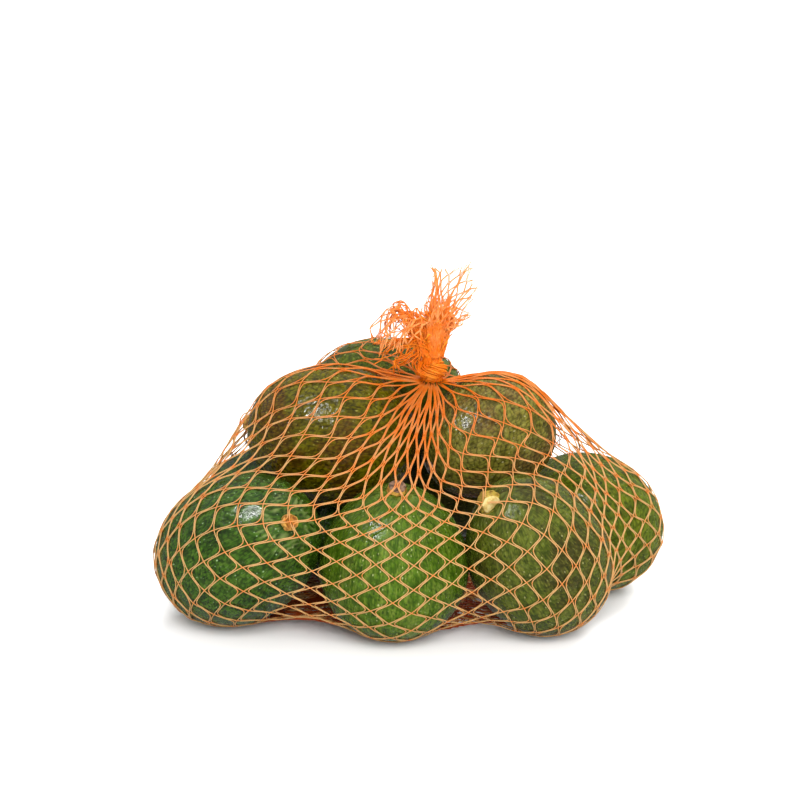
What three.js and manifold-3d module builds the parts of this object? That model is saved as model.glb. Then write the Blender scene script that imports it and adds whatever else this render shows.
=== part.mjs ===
// A net of avocados: an orange mesh bag pulled tight over a heap of fruit, tied in a knot on top,
// with the loose end of the bag standing above the knot as a tuft.
// Millimetres, +Z up. X runs to the right, Y away from the side that is looked at, and the heap
// stands on z = 0 with the middle of its box at x = 0, y = 0.

import * as THREE from 'three';
import { mergeVertices } from 'three/addons/utils/BufferGeometryUtils.js';
import Module from 'manifold-3d';

// The fruit. Each lies on its centre, its long axis points to its stem end, and the stem end is
// the narrower one by TAPER. A stem is given only where one shows.
const TAPER = 0.08;
const AVOCADOS = [
  { at: [-81, -60, 38], axis: [0.57, -0.61, 0.545], halfLength: 44, halfWidth: 33.5, stem: 'button' },
  { at: [-9.5, -71, 36.4], axis: [0.08, -0.15, 0.98], halfLength: 36, halfWidth: 33.8, stem: 'nub' },
  { at: [55, -70, 39.6], axis: [-0.4, -0.38, 0.83], halfLength: 41, halfWidth: 32, stem: 'stalk' },
  { at: [83.5, -1, 33.2], axis: [-0.45, 0.85, 0.1], halfLength: 41, halfWidth: 32 },
  { at: [-71, 22, 31.6], axis: [0.7, 0.7, 0.1], halfLength: 39, halfWidth: 30.5 },
  { at: [27, 73, 33], axis: [0.9, -0.2, 0.1], halfLength: 41, halfWidth: 32 },
  { at: [-39, -16, 79.5], axis: [-0.95, 0.2, 0.1], halfLength: 41, halfWidth: 33.5 },
  { at: [34, -17.5, 79.5], axis: [-0.75, -0.45, -0.3], halfLength: 34, halfWidth: 28.5, stem: 'scar' },
  { at: [-14.5, 47, 79.5], axis: [0.95, 0.1, 0.1], halfLength: 38.5, halfWidth: 31.5 },
];

// Stems: a base and a tip radius, how far the stem stands out of the skin and how deep it is rooted.
// A lean turns the stem away from the long axis of its fruit.
const STEMS = {
  button: { baseRadius: 4.6, tipRadius: 3.9, height: 2, lean: [0, 0, 0] },
  nub: { baseRadius: 3.6, tipRadius: 3.0, height: 3.5, lean: [0, 0, 0] },
  stalk: { baseRadius: 4.6, tipRadius: 4.2, height: 6, lean: [-0.2, 0.1, -0.05] },
  scar: { baseRadius: 2.6, tipRadius: 2.2, height: 1.6, lean: [0, 0, 0] },
};
const STEM_ROOT = 5;
const STEM_SIDES = 12;
const FRUIT_SIDES = 24;
const FRUIT_RINGS = 15;

// The bag: the net lies one thread clear of the skins, and its edges meet at the neck under the
// knot and at the gathered seam in the middle of the underside.
const NET_THREAD = 1;
const NECK = new THREE.Vector3(8, -11, 105);
const NECK_RADIUS = 6.5;
const SEAM = new THREE.Vector3(2, 0, 0);
const SEAM_RADIUS = 8;
const BAG_COLUMNS = 60;
const BAG_ROWS = 38;
const BELL_RADIUS = 150;
const BELL_HEIGHT = 130;
const DRAPE_PASSES = 900;
const FLAT_SPOT = 1.3;
// Near the neck the meshes are pulled long, so the net pulls less round the heap than up and down.
const NECK_HOOP_PULL = 0.15;
const FULL_HOOP_PULL_ROW = 0.65;
// The open meshes show the fruit, so the bag is drawn in between them, down to this depth. It keeps
// its place at the neck, and low down, where it spans the ground.
const VALLEY_DEPTH = 24;
const FULL_DEPTH_ROW = 0.26;
const FULL_DEPTH_HEIGHT = 35;

// The knot: a fluted neck with one slack turn of the bag laid round it.
const GAP = 0.3;
const KNOT_HEIGHT = 13;
const KNOT_TOP_RADIUS = 4.4;
const KNOT_WAIST = 0.5;
const KNOT_FLUTES = 9;
const KNOT_FLUTE_DEPTH = 0.35;
const KNOT_COLUMNS = 36;
const KNOT_ROWS = 6;
const TURN_RADIUS = 4.7;
const TURN_THICKNESS = 2.7;
const TURN_TILT = 0.2;
const TURN_SIDES = 10;
const TURN_STEPS = 28;

// The tuft: folds of the loose end, each leaving the knot at an angle (degrees, 0 to the right and
// 90 to the back). A fold bends over a point and ends at its tip, both given as reach out from the
// knot's edge and rise above its top.
const TUFT_FOLDS = [
  { angle: 0, bendOut: 2, bendRise: 17, tipOut: 14, tipRise: 21 },
  { angle: 40, bendOut: 3, bendRise: 26, tipOut: 17, tipRise: 38 },
  { angle: 80, bendOut: 1, bendRise: 28, tipOut: 6, tipRise: 44 },
  { angle: 115, bendOut: 3, bendRise: 18, tipOut: 5, tipRise: 22 },
  { angle: 150, bendOut: 13, bendRise: 37, tipOut: 18, tipRise: 12 },
  { angle: 180, bendOut: 18, bendRise: 46, tipOut: 22, tipRise: 0 },
  { angle: 220, bendOut: 10, bendRise: 34, tipOut: 19, tipRise: 4 },
  { angle: 285, bendOut: 1, bendRise: 14, tipOut: 5, tipRise: 26 },
];
const TUFT_BASE_RADIUS = 4.4;
const TUFT_WALL = 1.4;
const TUFT_PLEATS = 13;
const TUFT_PLEAT_DEPTH = 1.3;
const TUFT_COLUMNS = 52;
const TUFT_ROWS = 11;
const TUFT_SOLID_ROWS = 3;
const TUFT_RAGGED_EDGE = 0.1;
const TUFT_NOTCHES = 5;
const TUFT_NOTCH_SWELL = 2;
// The small step, in radians and in shares of a fold, over which the tuft's slope is taken.
const SLOPE_STEP = 0.02;

const FULL_TURN = 2 * Math.PI;
const UP = new THREE.Vector3(0, 0, 1);
const CYLINDER_AXIS = new THREE.Vector3(0, 1, 0);

const wasm = await Module();
wasm.setup();

// Closes a stack of rings of equal length into one solid, with a fan over the first and the last.
function solidFromRings(rings) {
  const columns = rings[0].length;
  const points = rings.flat();
  const faces = [];
  const corner = (row, column) => row * columns + (column % columns);
  for (let row = 0; row + 1 < rings.length; row++) {
    for (let column = 0; column < columns; column++) {
      const a = corner(row, column);
      const b = corner(row, column + 1);
      const c = corner(row + 1, column + 1);
      const d = corner(row + 1, column);
      faces.push(a, d, b, b, d, c);
    }
  }
  const first = points.push(middle(rings[0])) - 1;
  const last = points.push(middle(rings.at(-1))) - 1;
  const lastRow = rings.length - 1;
  for (let column = 0; column < columns; column++) {
    faces.push(first, corner(0, column), corner(0, column + 1));
    faces.push(last, corner(lastRow, column + 1), corner(lastRow, column));
  }
  const geometry = new THREE.BufferGeometry().setFromPoints(points);
  geometry.setIndex(faces);
  return geometry;
}

function middle(ring) {
  const sum = ring.reduce((total, point) => total.add(point), new THREE.Vector3());
  return sum.divideScalar(ring.length);
}

// Fuses closed geometries into one solid.
function fuse(geometries) {
  const solids = geometries.map((geometry) => {
    const bare = geometry.clone();
    bare.deleteAttribute('normal');
    bare.deleteAttribute('uv');
    const merged = mergeVertices(bare);
    const vertProperties = new Float32Array(merged.attributes.position.array);
    const triVerts = new Uint32Array(merged.index.array);
    return new wasm.Manifold(new wasm.Mesh({ numProp: 3, vertProperties, triVerts }));
  });
  const mesh = solids.reduce((whole, piece) => whole.add(piece)).getMesh();
  const fused = new THREE.BufferGeometry();
  fused.setAttribute('position', new THREE.BufferAttribute(mesh.vertProperties, 3));
  fused.setIndex(new THREE.BufferAttribute(mesh.triVerts, 1));
  return fused;
}

// An avocado is an egg: the half width shrinks towards the stem end by TAPER.
class Avocado {
  constructor({ at, axis, halfLength, halfWidth, stem }) {
    this.centre = new THREE.Vector3(...at);
    this.axis = new THREE.Vector3(...axis).normalize();
    this.halfLength = halfLength;
    this.halfWidth = halfWidth;
    this.stem = stem;
  }

  // How far out a point lies, as a share of the way to a skin that is thickened by a clearance.
  depth(offset, clearance) {
    const along = offset.dot(this.axis);
    const across = Math.sqrt(Math.max(offset.lengthSq() - along * along, 0));
    const station = THREE.MathUtils.clamp(along / (this.halfLength + clearance), -1, 1);
    const width = (this.halfWidth + clearance) * (1 - TAPER * station);
    return Math.hypot(along / (this.halfLength + clearance), across / width);
  }

  pushOut(point, clearance) {
    const offset = point.clone().sub(this.centre);
    const share = this.depth(offset, clearance);
    if (share < 1) point.copy(this.centre).addScaledVector(offset, 1 / share);
  }

  bodyGeometry() {
    const geometry = new THREE.SphereGeometry(1, FRUIT_SIDES, FRUIT_RINGS);
    const turn = new THREE.Quaternion().setFromUnitVectors(CYLINDER_AXIS, this.axis);
    const skin = geometry.attributes.position;
    const point = new THREE.Vector3();
    for (let index = 0; index < skin.count; index++) {
      point.fromBufferAttribute(skin, index);
      const width = this.halfWidth * (1 - TAPER * point.y);
      point.multiply(new THREE.Vector3(width, this.halfLength, width));
      point.applyQuaternion(turn).add(this.centre);
      skin.setXYZ(index, point.x, point.y, point.z);
    }
    return geometry;
  }

  stemGeometry() {
    const { baseRadius, tipRadius, height, lean } = STEMS[this.stem];
    const direction = this.axis.clone().add(new THREE.Vector3(...lean)).normalize();
    const skin = direction.clone().divideScalar(this.depth(direction, 0));
    const length = height + STEM_ROOT;
    const geometry = new THREE.CylinderGeometry(tipRadius, baseRadius, length, STEM_SIDES);
    geometry.translate(0, length / 2 - STEM_ROOT, 0);
    geometry.applyQuaternion(new THREE.Quaternion().setFromUnitVectors(CYLINDER_AXIS, direction));
    const root = this.centre.clone().add(skin);
    return geometry.translate(root.x, root.y, root.z);
  }
}

function ring(centre, radius, columns) {
  return Array.from({ length: columns }, (_, column) => {
    const angle = (column / columns) * FULL_TURN;
    return new THREE.Vector3(radius * Math.cos(angle), radius * Math.sin(angle), 0).add(centre);
  });
}

// The slack bag hangs round the heap as a bell, from the neck out and down and in to the seam.
function slackBag() {
  return Array.from({ length: BAG_ROWS }, (_, row) => {
    const share = row / (BAG_ROWS - 1);
    const centre = NECK.clone().lerp(SEAM, share);
    const edge = THREE.MathUtils.lerp(NECK_RADIUS, SEAM_RADIUS, share);
    const bulge = Math.sin(share * Math.PI);
    centre.z += bulge * (BELL_HEIGHT - NECK.z) * Math.cos((share * Math.PI) / 2);
    return ring(centre, edge + (BELL_RADIUS - edge) * bulge, BAG_COLUMNS);
  });
}

// Pulling the bag tight: every crossing moves to the middle of its four neighbours, weighed by
// their pull, then back out of the fruit and up off the ground, until the net is taut.
function tautBag(fruit) {
  const bag = slackBag();
  const mean = new THREE.Vector3();
  for (let pass = 0; pass < DRAPE_PASSES; pass++) {
    for (let row = 1; row < BAG_ROWS - 1; row++) {
      const ease = THREE.MathUtils.smoothstep(row / (BAG_ROWS - 1), 0, FULL_HOOP_PULL_ROW);
      const hoopPull = THREE.MathUtils.lerp(NECK_HOOP_PULL, 1, ease);
      for (let column = 0; column < BAG_COLUMNS; column++) {
        const point = bag[row][column];
        mean.copy(bag[row][(column + 1) % BAG_COLUMNS]);
        mean.add(bag[row][(column + BAG_COLUMNS - 1) % BAG_COLUMNS]).multiplyScalar(hoopPull);
        mean.add(bag[row - 1][column]).add(bag[row + 1][column]);
        point.copy(mean.divideScalar(2 + 2 * hoopPull));
        for (const avocado of fruit) avocado.pushOut(point, NET_THREAD);
        point.z = Math.max(point.z, 0);
      }
    }
  }
  for (const point of bag.flat()) {
    if (point.z < FLAT_SPOT) point.z = 0;
  }
  return bag;
}

// Moves a taut bag in along its own normals, into the valleys between the fruit.
function drawnIn(bag) {
  const geometry = solidFromRings(bag);
  geometry.computeVertexNormals();
  const normals = geometry.attributes.normal;
  return bag.map((points, row) => points.map((point, column) => {
    const normal = new THREE.Vector3().fromBufferAttribute(normals, row * BAG_COLUMNS + column);
    const fromNeck = THREE.MathUtils.smoothstep(row / (BAG_ROWS - 1), 0, FULL_DEPTH_ROW);
    const offGround = THREE.MathUtils.smoothstep(point.z, 0, FULL_DEPTH_HEIGHT);
    return point.clone().addScaledVector(normal, -VALLEY_DEPTH * fromNeck * offGround);
  }));
}

function filledNet() {
  const fruit = AVOCADOS.map((avocado) => new Avocado(avocado));
  const bodies = fruit.map((avocado) => avocado.bodyGeometry());
  const stems = fruit.filter((avocado) => avocado.stem).map((avocado) => avocado.stemGeometry());
  return fuse([solidFromRings(drawnIn(tautBag(fruit))), ...bodies, ...stems]);
}

function knot() {
  const foot = NECK.clone().addScaledVector(UP, GAP);
  const neck = Array.from({ length: KNOT_ROWS }, (_, row) => {
    const share = row / (KNOT_ROWS - 1);
    const waist = KNOT_WAIST * Math.sin(share * Math.PI);
    const radius = THREE.MathUtils.lerp(NECK_RADIUS, KNOT_TOP_RADIUS, share) - waist;
    const centre = foot.clone().addScaledVector(UP, share * KNOT_HEIGHT);
    return ring(centre, radius, KNOT_COLUMNS).map((point, column) => {
      const flute = KNOT_FLUTE_DEPTH * Math.cos((column / KNOT_COLUMNS) * FULL_TURN * KNOT_FLUTES);
      return point.sub(centre).setLength(radius + flute).add(centre);
    });
  }).reverse();
  const turn = new THREE.TorusGeometry(TURN_RADIUS, TURN_THICKNESS, TURN_SIDES, TURN_STEPS);
  turn.rotateY(TURN_TILT);
  turn.translate(foot.x, foot.y, foot.z + KNOT_HEIGHT / 2);
  return fuse([solidFromRings(neck), turn]);
}

// A value of the folds at any angle, eased from each fold to the next one round.
function foldValue(angle, key) {
  const degrees = (angle / FULL_TURN) * 360;
  const index = TUFT_FOLDS.findLastIndex((fold) => fold.angle <= degrees);
  const here = TUFT_FOLDS[index];
  const next = TUFT_FOLDS[(index + 1) % TUFT_FOLDS.length];
  const span = (next.angle - here.angle + 360) % 360;
  const ease = THREE.MathUtils.smoothstep((degrees - here.angle) / span, 0, 1);
  return THREE.MathUtils.lerp(here[key], next[key], ease);
}

// A point of the tuft's smooth funnel, along the curve of the fold at its angle.
function funnelPoint(angle, share) {
  const notch = Math.cos(TUFT_NOTCHES * angle) * Math.cos(TUFT_NOTCH_SWELL * angle + 1);
  const along = share * (1 + TUFT_RAGGED_EDGE * notch);
  const toBend = 2 * along * (1 - along);
  const toTip = along ** 2;
  const radius = TUFT_BASE_RADIUS + foldValue(angle, 'bendOut') * toBend + foldValue(angle, 'tipOut') * toTip;
  const rise = foldValue(angle, 'bendRise') * toBend + foldValue(angle, 'tipRise') * toTip;
  const top = NECK.z + KNOT_HEIGHT + 2 * GAP;
  return new THREE.Vector3(NECK.x + radius * Math.cos(angle), NECK.y + radius * Math.sin(angle), top + rise);
}

// The tuft is the funnel's sheet in pleats: up its outer face, over the edge and down its inner face.
function tuft() {
  const face = (row, side) => {
    const share = row / (TUFT_ROWS - 1);
    return Array.from({ length: TUFT_COLUMNS }, (_, column) => {
      const angle = (column / TUFT_COLUMNS) * FULL_TURN;
      const before = (angle - SLOPE_STEP + FULL_TURN) % FULL_TURN;
      const after = (angle + SLOPE_STEP) % FULL_TURN;
      const round = funnelPoint(after, share).sub(funnelPoint(before, share));
      const rise = funnelPoint(angle, share + SLOPE_STEP).sub(funnelPoint(angle, share - SLOPE_STEP));
      const outward = round.cross(rise).normalize();
      const pleat = TUFT_PLEAT_DEPTH * share * Math.cos(TUFT_PLEATS * angle);
      return funnelPoint(angle, share).addScaledVector(outward, pleat + side * TUFT_WALL / 2);
    });
  };
  const rows = Array.from({ length: TUFT_ROWS }, (_, row) => row);
  const outer = rows.map((row) => face(row, 1));
  const inner = rows.slice(TUFT_SOLID_ROWS).map((row) => face(row, -1)).reverse();
  return solidFromRings([...outer, ...inner].reverse());
}

function piece(name, geometry, colour, roughness) {
  const material = new THREE.MeshStandardMaterial({ color: colour, roughness, metalness: 0 });
  const mesh = new THREE.Mesh(geometry, material);
  mesh.name = name;
  return mesh;
}

const netOfAvocados = new THREE.Group();
netOfAvocados.add(
  piece('filled_net', filledNet(), '#4d6b2c', 0.45),
  piece('knot', knot(), '#f0812f', 0.5),
  piece('tuft', tuft(), '#f0812f', 0.5),
);

export default netOfAvocados;
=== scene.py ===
"""A net of avocados: ten fruit with stems in an orange knitted net, tied in a knot with a loose tuft."""

import math

import bmesh
import bpy
import numpy as np
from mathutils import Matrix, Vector
from mathutils.bvhtree import BVHTree
from mathutils.kdtree import KDTree


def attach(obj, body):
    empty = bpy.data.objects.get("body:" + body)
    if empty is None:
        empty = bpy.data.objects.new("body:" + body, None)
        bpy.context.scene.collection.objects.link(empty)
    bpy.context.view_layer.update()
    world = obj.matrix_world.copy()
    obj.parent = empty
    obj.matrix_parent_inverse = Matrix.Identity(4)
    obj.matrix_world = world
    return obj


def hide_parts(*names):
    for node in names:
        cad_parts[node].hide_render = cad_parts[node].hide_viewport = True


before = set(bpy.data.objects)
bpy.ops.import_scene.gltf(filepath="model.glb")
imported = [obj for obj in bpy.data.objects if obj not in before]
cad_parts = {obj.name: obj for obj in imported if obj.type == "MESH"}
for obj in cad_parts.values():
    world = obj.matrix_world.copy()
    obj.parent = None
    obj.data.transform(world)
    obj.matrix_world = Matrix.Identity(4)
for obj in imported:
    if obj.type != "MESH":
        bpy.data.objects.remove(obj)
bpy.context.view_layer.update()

MM = 0.001
FULL_TURN = 2 * math.pi
UP = np.array([0.0, 0.0, 1.0])
RIGHT = np.array([1.0, 0.0, 0.0])
FRONT = np.array([0.0, -1.0, 0.0])
# Floors that keep a division away from nought
LEAST_LENGTH = 1e-12
LEAST_DEPTH = 1e-6
SEED = 11
dice = np.random.default_rng(SEED)

# The fruit, in millimetres: the centre, the direction of the stem end, half the length, half the width, the
# skin, and the stem. They lie as in the CAD model, but front_left and top_back are a little longer, and a
# small one fills the middle of the heap. The stem end is narrower by TAPER.
TAPER = 0.08
AVOCADOS = {
    "front_left": ((-80, -60, 38.8), (0.585, -0.625, 0.515), 47, 33.5, "deep", "button"),
    "front_middle": ((-9.5, -71, 36.4), (0.08, -0.15, 0.98), 36, 33.8, "bright", "stub"),
    "front_right": ((55, -70, 39.6), (-0.4, -0.38, 0.83), 41, 32, "olive", "stalk"),
    "right": ((83.5, -1, 33.2), (-0.45, 0.85, 0.1), 41, 32, "leaf", "nub"),
    "back_left": ((-71, 22, 31.6), (0.7, 0.7, 0.1), 39, 30.5, "deep", "nub"),
    "back_middle": ((27, 73, 33), (0.9, -0.2, 0.1), 41, 32, "olive", "button"),
    "upper_left": ((-39, -16, 79.5), (-0.95, 0.2, 0.1), 41, 33.5, "pebbled", "nub"),
    "upper_right": ((34, -17.5, 79.5), (-0.75, -0.45, -0.3), 34, 28.5, "dusky", "scar"),
    "top_back": ((-14.5, 47, 79.5), (0.95, 0.1, 0.1), 40.5, 31.5, "leaf", "nub"),
    "middle": ((-24, -8, 24), (0.8, 0.6, 0.05), 31, 23.5, "deep", "nub"),
}
# How finely a fruit is drawn, and how many passes find its skin
BALL_CUTS = 54
SKIN_PASSES = 12

# The relief of every skin, in millimetres and shares: slow swells, pebbles of uneven height, a dimple at the
# stem, and a ring of ridges round it that fade in and out. Waves are how many random waves are added up, and
# bumps how close together they are.
SKIN_SWELL = 0.35
SWELL_WAVES = 8
SWELL_BUMPS = 6
SWELL_SPREAD = (0.6, 1.2)
PEBBLE_SCATTER = 0.95
PEBBLE_GROOVE = 1.9
PEBBLE_MIDDLE = 0.6
PEBBLE_UNEVEN = 0.35
UNEVEN_WAVES = 6
UNEVEN_BUMPS = 9
STEM_DIMPLE = 1.3
STEM_DIMPLE_REACH = 7.0
RIDGES = 30
RIDGE_RING = 7.5
RIDGE_REACH = 4.5
RIDGE_FADE = 0.3
RIDGE_FADES = 7
# Angles round a stem start from this direction, in which no stem points.
ROUND_FROM = np.array([0.0, 0.3, 1.0])

# How each skin looks: colours from the grooves up to the high spots, the share that is patched, how dark the
# grooves are painted, the width and height of its pebbles and the height of the ridges round its stem in
# millimetres, its roughness and its gloss. The groove colour is also painted shade in the grooves and small
# dimples. The high colour is also a painted highlight on the pebble tops, and the speck colour is partly
# painted glints.
SKINS = {
    "deep": dict(groove_and_shade="#0A1502", body="#203908", high="#365410", streak="#445A1C", speck_and_glint="#80986C",
                 patch="#162906", ridge="#6A7742", patch_share=0.25, groove_shade_share=0.65,
                 pebble=2.4, height=0.7, rib=0.55, rough=0.14, gloss=0.36),
    "bright": dict(groove_and_shade="#1A2A05", body="#304806", high="#445E0F", streak="#657329", speck_and_glint="#969D65",
                   patch="#253B05", ridge="#656E2C", patch_share=0.3, groove_shade_share=0.4,
                   pebble=2.4, height=0.36, rib=0.4, rough=0.16, gloss=0.28),
    "olive": dict(groove_and_shade="#1A2005", body="#343D0C", high="#485113", streak="#5E5F23", speck_and_glint="#868453",
                  patch="#2E250D", ridge="#5A612A", patch_share=0.42, groove_shade_share=0.5,
                  pebble=2.4, height=0.45, rib=0.3, rough=0.16, gloss=0.28),
    "leaf": dict(groove_and_shade="#1E2703", body="#3B490A", high="#515C11", streak="#636919", speck_and_glint="#878F4B",
                 patch="#2C3109", ridge="#586327", patch_share=0.3, groove_shade_share=0.6,
                 pebble=2.4, height=0.45, rib=0.2, rough=0.16, gloss=0.22),
    "pebbled": dict(groove_and_shade="#171000", body="#3E3A00", high="#5A5502", streak="#5E5403", speck_and_glint="#86803A",
                    patch="#4D2E08", ridge="#4B4611", patch_share=0.45, groove_shade_share=0.55,
                    pebble=2.6, height=0.95, rib=0.0, rough=0.13, gloss=0.3),
    "dusky": dict(groove_and_shade="#201C05", body="#4E4C14", high="#706C28", streak="#72662E", speck_and_glint="#90885E",
                  patch="#543D1C", ridge="#565134", patch_share=0.5, groove_shade_share=0.55,
                  pebble=2.5, height=0.75, rib=0.0, rough=0.15, gloss=0.28),
}

# Stems in millimetres: a turned profile of (height over the skin, radius) from the rim up to the middle of
# the tip; how far the stem sits off the fruit's axis; the way a bent tip points; the (height, radius) of the
# ball that the net rides over; and the dark and pale colours of the bark and of the snapped end.
STEMS = {
    "button": dict(
        profile=[(-4, 3.9), (0.3, 3.9), (1.0, 3.9), (1.5, 3.6), (1.5, 3.1), (0.8, 2.4), (0.5, 1.0)],
        off=(-0.05, -0.06, -0.02), ride=(-2.5, 5.0),
        bark=("#7E5218", "#B4863A"), end=("#6A3C0C", "#9E661E")),
    "nub": dict(
        profile=[(-4, 4.4), (-0.4, 4.4), (0.6, 3.8), (2.0, 3.5), (3.0, 3.5), (3.3, 2.8), (3.2, 1.0)],
        off=(0, 0, 0), ride=(-0.8, 4.8),
        bark=("#7E541E", "#B68D39"), end=("#63493D", "#987767")),
    "stub": dict(
        profile=[(-4, 4.6), (-0.6, 4.6), (0.6, 4.3), (2.2, 3.9), (3.4, 3.8), (3.8, 3.3), (3.6, 1.0)],
        off=(-0.05, 0, 0), bend=(0.15, -0.55, 0.82), ride=(-0.6, 5.0),
        bark=("#7A4E14", "#B98D39"), end=("#3C2A1C", "#745844")),
    "stalk": dict(
        profile=[(-4, 6.0), (-0.4, 6.0), (1.4, 5.6), (3.4, 4.6), (6.4, 4.3), (7.0, 3.7), (6.9, 1.0)],
        off=(-0.17, 0.02, -0.1), bend=(0.45, -0.85, -0.3), ride=(1.6, 5.4),
        bark=("#6A5016", "#9C842E"), end=("#A88C48", "#BCAA72")),
    "scar": dict(
        profile=[(-3, 3.2), (0.0, 3.4), (0.5, 2.8), (0.7, 1.8), (0.4, 0.7)],
        off=(0, 0, 0), ride=(-3, 3.4),
        bark=("#5F4235", "#8D685A"), end=("#5F4639", "#9F7E70")),
}
STEM_SIDES = 40
STEM_WAVES = (2, 3, 7)
STEM_RAGGED = 0.035
STEM_END_RINGS = 2

# The net: knitted from pairs of threads that cross and turn back at every joint. It is laid round the
# hull of the CAD solid first, and then let free over the fruit. A strand is about as long as it was
# knitted, but meshes are pulled long next to the knot and lie slack under the heap.
COLUMNS = 44
ROWS = 39
# Rows from the knot down, the length of a strand there in millimetres, and the least share that it pulls
STRAND_ROWS = [0, 4, 9, 26, 38]
STRAND_LENGTHS = [13.0, 13.0, 10.5, 10.5, 5.0]
STRAND = np.interp(np.arange(ROWS - 1), STRAND_ROWS, STRAND_LENGTHS)[:, None, None] * MM
LEAST_PULLS = [0.01, 0.02, 0.1, 0.1, 1.0]
LEAST_PULL = np.interp(np.arange(ROWS - 1), STRAND_ROWS, LEAST_PULLS)[:, None, None]
THREAD = 0.25 * MM
# The neck and the seam of the CAD model, and the drum that the loose net starts as, drawn in to the heart
NECK = np.array([8.0, -11.0, 105.0]) * MM
NECK_RADIUS = 6.5 * MM
SEAM = np.array([2.0, 0.0, 0.0]) * MM
SEAM_RADIUS = 8.0 * MM
HEART = np.array([0.0, -8.0, 45.0]) * MM
DRUM_RADIUS = 165 * MM
DRUM_TOP = 125 * MM
DRUM_FOOT = -10 * MM
DRUM_SHARES = [0, 0.38, 0.62, 1]
# How often the strands draw together, on the hull and then free, and how much a long one stiffens
LAY_PASSES = 150
FREE_PASSES = 400
STIFFEN_EVERY = 5
LAY_STIFFENING = 0.5
FREE_STIFFENING = 0.3
MOST_PULL = 30.0
JOINT_CLEARANCE = 0.5 * MM
FLOOR_CLEARANCE = 0.4 * MM

# Near the knot the strands gather in four folds: down the front valley, along the crests to the left and
# the right, and down the back. Angles are about the neck. The gathering grows and fades over these rows.
FOLDS = np.radians([252, 165, 3, 70])
GATHER_ROWS = [0, 1, 3, 6, 12]
GATHER_SHARES = [0.15, 0.25, 0.45, 0.5, 0.0]
GATHER_HOLD = 0.5

# A joint is wider where the meshes are pulled wide open. Its bend reaches over a share of the strand, one
# thread is lifted over the other by a share of its thickness, the two close up over a share at either end of
# a strand, and the joint lies a little out of place.
JOINT_SHARE = 0.2
JOINT_FROM = 6.0 * MM
JOINT_LEAST = 0.35 * MM
JOINT_MOST = 1.9 * MM
JOINT_REACH = 0.38
JOINT_LIFT = 1.3
PAIR_CLOSE = 0.3
JOINT_SHIFT = 0.45 * MM
# Near the knot the threads keep the strong colour of the joints. These are rows and shares of paleness.
PALE_ROWS = [0, 3, 8, 14]
PALE_SHARES = [0.0, 0.25, 0.75, 1.0]
# A joint takes away this share of the paleness.
JOINT_TINT = 0.65
# Next to the knot each thread is paler by up to NECK_TINT, which fades over TINT_ROWS, and it starts inside
# the neck by up to a share of its radius.
NECK_TINT = 0.25
TINT_ROWS = 8
NECK_DEPTH = 0.45
# How finely a thread is drawn: steps along a strand, sides, and passes that round its corners
STEPS = 5
THREAD_SIDES = 5
SMOOTHING = 2
THREAD_CLEARANCE = 0.1 * MM

# Slack of the net under the edge of the heap: the rows that it lies between, and how it wanders. Its threads
# keep near the colour of the joints, in a darker copy of the thread, as painted shade under the heap.
SLACK_STRANDS = 44
SLACK_ROWS = (24.0, 31.0)
SLACK_WAVES = (3, 5, 8, 13)
SLACK_WANDER = 0.8
SLACK_CRUMPLE = 1.2 * MM
SLACK_CRUMPLE_SIZE = 30 * MM
SLACK_CRUMPLE_WAVES = 9
SLACK_THREAD = 0.35 * MM
SLACK_PALE = 0.1

# The knot, in the place of the CAD model's: a twisted bundle, with ropes of thread wound round it. The bundle
# has its radii in millimetres at shares of its height. Its threads lie in an outer share of the radius, and
# stray.
KNOT_FOOT = NECK + UP * 0.3 * MM
KNOT_HEIGHT = 13 * MM
KNOT_SHARES = [0, 0.4, 0.8, 1]
KNOT_RADII = [5.0, 4.3, 4.3, 4.4]
KNOT_TWIST = 1.1
KNOT_STEPS = 14
BUNDLE_DEPTH = 0.25
BUNDLE_STRAY = 0.1 * MM
BUNDLE_LEAN = 0.08
# Each rope has its start and sweep in degrees, its heights in the knot at both ends, its radius about the
# bundle and its thickness, in millimetres, and its share of paleness.
KNOT_ROPES = [
    (205, 190, 4.3, 6.2, 4.1, 3.7, 0.4),
    (135, 125, 7.0, 4.6, 4.2, 3.0, 0.2),
    (15, 160, 6.0, 7.0, 4.0, 3.0, 0.5),
]
ROPE_THREADS = 40
ROPE_STEPS = 40
# The share of a rope that tucks in at either end, and its radius and thickness there as shares
ROPE_TUCK = 0.32
ROPE_END_RADIUS = 0.4
ROPE_END_THICKNESS = 0.55
ROPE_CRUMPLE = 0.35 * MM
ROPE_CRUMPLE_SIZE = 9 * MM
ROPE_CRUMPLE_WAVES = 5
ROPE_TWIST = 0.7
ROPE_STRAY = 0.15
ROPE_LUMP = 0.08
ROPE_LUMPS = 23
ROPE_UNEVEN = 0.1

# The tuft: a funnel of net with the folds and the ragged edge of the CAD model's, pleated and crumpled. It
# has random draws of its own.
TUFT_SEED = 3
TUFT_FOOT = KNOT_FOOT + UP * (KNOT_HEIGHT - 1.2 * MM)
TUFT_RADIUS = 4.4 * MM
TUFT_PLEATS = 9
TUFT_PLEAT_DEPTH = 2.2 * MM
TUFT_PLEAT_START = 0.6
TUFT_PLEAT_DRIFT = 3
TUFT_CRUMPLE = 1.8 * MM
TUFT_CRUMPLE_SIZE = 16 * MM
TUFT_CRUMPLE_WAVES = 7
TUFT_JITTER = 0.5 * MM
TUFT_UNEVEN = 0.6 * MM
TUFT_RAGGED_EDGE = 0.1
TUFT_NOTCHES = 5
TUFT_NOTCH_SWELL = 2
TUFT_FRAY = (0.6, 1.0)
TUFT_FRAY_SPREAD = 0.7 * MM
TUFT_THREAD = 0.2 * MM
# The tuft has an outer and an inner net: their rows, and their shares of the funnel's length.
TUFT_NETS = {"outer": (10, 1.0), "inner": (7, 0.62)}
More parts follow.
